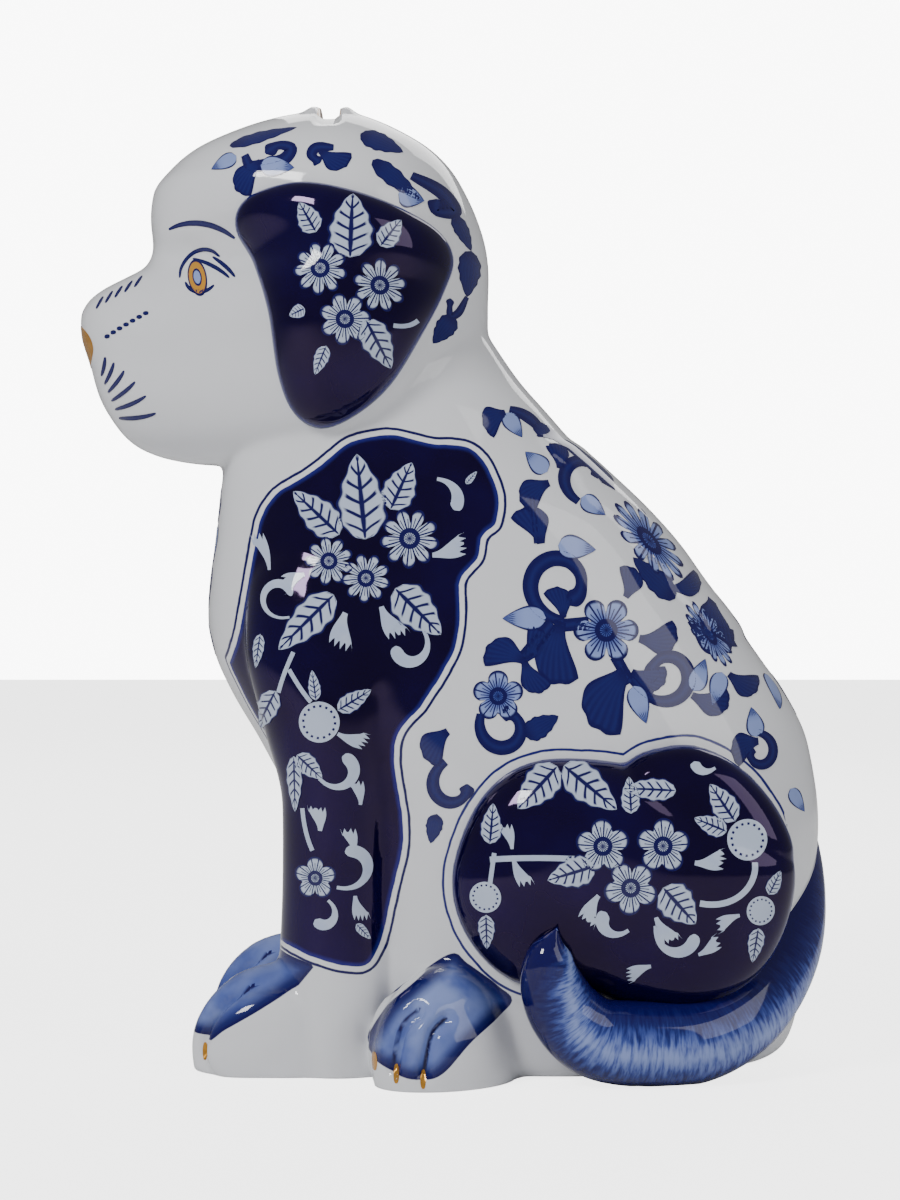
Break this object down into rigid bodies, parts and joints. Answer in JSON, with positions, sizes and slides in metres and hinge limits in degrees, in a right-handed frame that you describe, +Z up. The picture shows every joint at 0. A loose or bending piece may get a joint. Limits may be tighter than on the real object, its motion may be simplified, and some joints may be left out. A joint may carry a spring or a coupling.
{
  "type": "porcelain figurine",
  "caption": "Sitting puppy figurine of hollow glazed porcelain, a money bank with a coin slot across the crown and a rubber stopper in the base.",
  "frame": {"origin": "on the table plane and on the puppy's plane of symmetry, below the neck", "axes": "+Z up, -X the way the puppy looks, -Y its left side, where the tail lies"},
  "size_m": [0.1828, 0.1241, 0.229],
  "materials": {
    "white_glaze": "clear gloss glaze over white porcelain, underglaze blue painting",
    "cobalt_glaze": "clear gloss glaze over dark cobalt ground",
    "gilding": "bright fired gilding, a coat too thin to be a solid",
    "stopper_rubber": "matt soft rubber"
  },
  "bodies": {
    "figure": {"torso_casting": "white_glaze", "base_slab": "white_glaze", "head_casting": "white_glaze", "left_ear": "cobalt_glaze", "right_ear": "cobalt_glaze", "left_foreleg": "white_glaze", "right_foreleg": "white_glaze", "left_haunch": "cobalt_glaze", "right_haunch": "cobalt_glaze", "left_hind_paw": "white_glaze", "right_hind_paw": "white_glaze", "tail": "white_glaze"},
    "stopper": {"rubber_stopper": "stopper_rubber"}
  },
  "joints": [
    {"name": "stopper_pull", "type": "slide", "parent": "figure", "child": "stopper", "axis": [0, 0, -1], "range_m": [0, 0.03]}
  ]
}
